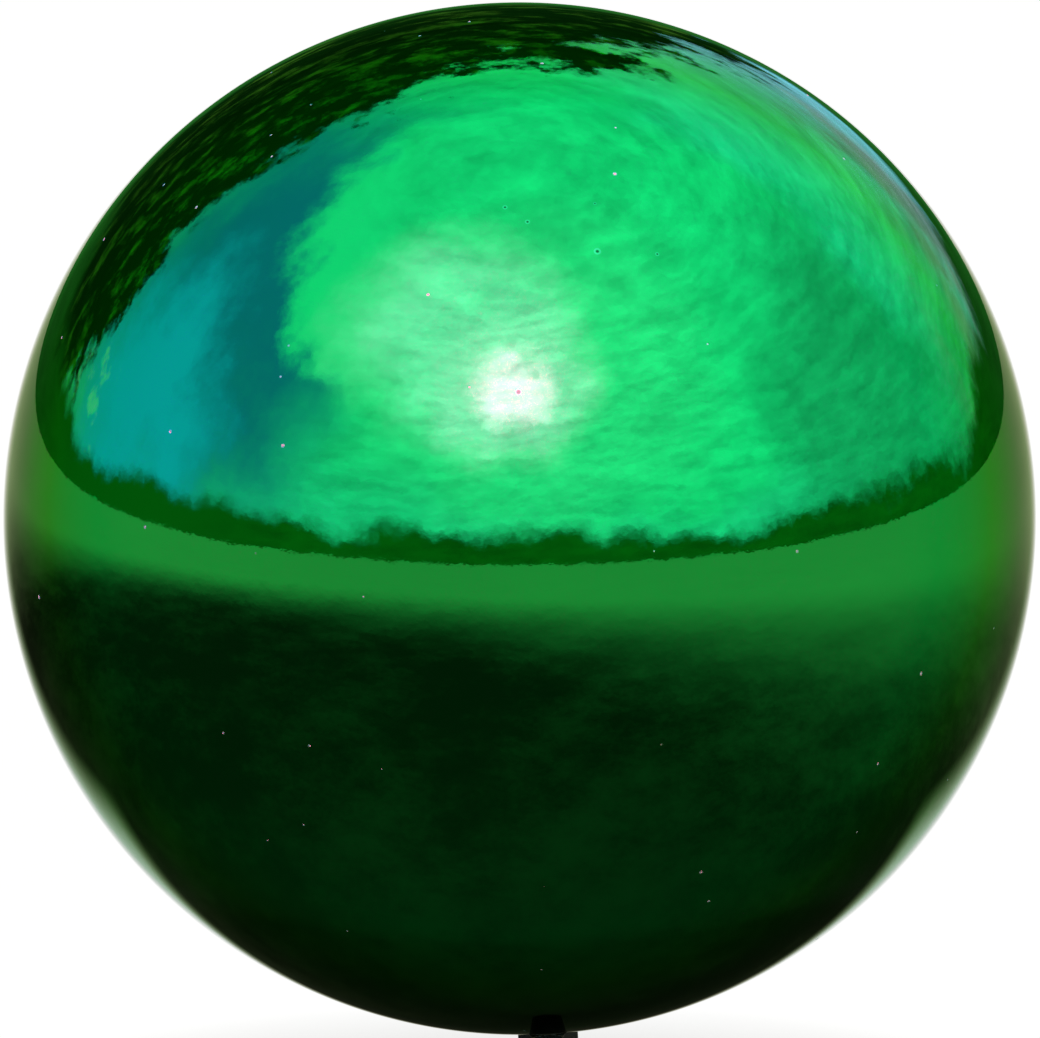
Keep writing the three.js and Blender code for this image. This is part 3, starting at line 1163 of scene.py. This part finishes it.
def weldNut():
    columns = nut["columns"]
    seatLevel = discLow.z + disc["thickness"]
    bore = nut["boreRadius"]
    sink = nut["countersink"]
    rows = [ring(bore + sink, nutLow.z, columns), ring(nut["pilotRadius"], nutLow.z, columns),
            ring(nut["pilotRadius"], seatLevel, columns)]
    rows += hexRows(nut["acrossFlats"], seatLevel, nutHigh.z, columns, 0, nut["chamferSlope"])
    rows.append(ring(bore + sink, nutHigh.z, columns))
    step = thread["pitch"] / thread["rowsPerPitch"]
    count = int((nutHigh.z - nutLow.z - 2 * step) / step)
    for k in range(count):
        level = nutHigh.z - step * (k + 1)
        groove = threadRadius(level, columns) + thread["clearance"]
        mouth = bore + sink - min(nutHigh.z - level, level - nutLow.z)
        rows.append(ring(np.maximum(groove, mouth), level, columns))
    piece = buildPiece("weldNut", rows, closed=True, sharpAngle=35)
    fit(piece, "ball", "weld_nut", (nutFinish,))


cup = {
    "columns": 128,
    "plate": 0.0009,
    "holeRadius": 0.0044,
    "rimWall": 0.0007,
    "fillet": 0.00022,
    "innerFillet": 0.00015,
    "bend": 0.0005,
}


def cupWasher():
    low = cupLow.z
    high = cupHigh.z
    outside = cupHigh.x
    well = outside - cup["rimWall"]
    profile = softCorners([
        (cup["holeRadius"], low, cup["fillet"]),
        (outside, low, cup["bend"]),
        (outside, high, cup["fillet"]),
        (well, high, cup["fillet"]),
        (well, low + cup["plate"], cup["innerFillet"]),
        (cup["holeRadius"], low + cup["plate"], cup["fillet"]),
    ], steps=4)
    piece = buildPiece("cupWasher", rings(profile, cup["columns"]), closed=True, sharpAngle=40)
    fit(piece, "washers", "cup_washer", (washerFinish,))


seal = {
    "columns": 128,
    "holeRadius": 0.0044,
    "fillet": 0.0006,
    "holeFillet": 0.0002,
}


def rubberSeal():
    low = sealLow.z
    high = sealHigh.z
    outside = sealHigh.x
    profile = softCorners([
        (seal["holeRadius"], low, seal["holeFillet"]),
        (outside, low, seal["fillet"]),
        (outside, high, seal["fillet"]),
        (seal["holeRadius"], high, seal["holeFillet"]),
    ], steps=5)
    piece = buildPiece("rubberSeal", rings(profile, seal["columns"]), closed=True, sharpAngle=50)
    fit(piece, "washers", "rubber_seal", (rubberFinish,))


stem = {
    "columns": 120,
    "pinRadius": 0.0049,
    "pinChamfer": 0.0012,
    "pinLength": 0.038,
    "pinBands": 5,
    "endBevel": 0.0002,  # the flat end's own small edge
    "endRise": 0.00002,
    "chamferEdge": 0.00015,
    "collarHeight": 0.004,
    "collarAcrossFlats": 0.013,
    "collarSlope": math.tan(math.radians(30)),
    "fillet": 0.0003,  # in the corners under and above the collar
    "filletMiddle": 0.0001,
    "reliefRadius": 0.0033,
    "reliefLength": 0.0012,
    "tipChamfer": 0.0009,
}


def mountingStem():
    columns = stem["columns"]
    pin = stem["pinRadius"]
    chamfer = stem["pinChamfer"]
    collarLow = stem["pinLength"]
    collarTop = collarLow + stem["collarHeight"]
    tip = stemHigh.z
    relief = stem["reliefRadius"]
    bevel = stem["endBevel"]
    edge = stem["chamferEdge"]
    fillet = stem["fillet"]
    middle = stem["filletMiddle"]
    bands = stem["pinBands"]
    reliefTop = collarTop + stem["reliefLength"]
    tipRadius = thread["majorRadius"] - stem["tipChamfer"]
    rows = [pole(0.0)]
    rows += rings([(pin - chamfer - bevel, 0.0), (pin - chamfer, stem["endRise"]),
                   (pin - edge, chamfer - edge), (pin, chamfer + fillet)], columns)
    rows += rings([(pin, collarLow * k / bands) for k in range(1, bands)], columns)
    rows += rings([(pin, collarLow - fillet), (pin + middle, collarLow - middle),
                   (pin + fillet, collarLow)], columns)
    rows += hexRows(stem["collarAcrossFlats"], collarLow, collarTop, columns, stem["collarSlope"],
                    stem["collarSlope"])
    rows += rings([(relief + fillet, collarTop), (relief + middle, collarTop + middle),
                   (relief, collarTop + fillet), (relief, reliefTop)], columns)
    step = thread["pitch"] / thread["rowsPerPitch"]
    start = reliefTop + step
    count = int((tip - start) / step)
    for k in range(count + 1):
        level = start + step * k
        if level > tip - step / 2:
            break
        limit = min(relief + level - start + step, tipRadius + tip - level)
        rows.append(ring(np.minimum(threadRadius(level, columns), limit), level, columns))
    rows.append(ring(tipRadius, tip, columns))
    rows.append(pole(tip))
    piece = buildPiece("mountingStem", rows, sharpAngle=35)
    fit(piece, "stem", "mounting_stem", (stemFinish,))


baseDisc()
weldNut()
cupWasher()
rubberSeal()
mountingStem()
print("fittings built")

bpy.context.scene.view_settings.view_transform = "Standard"
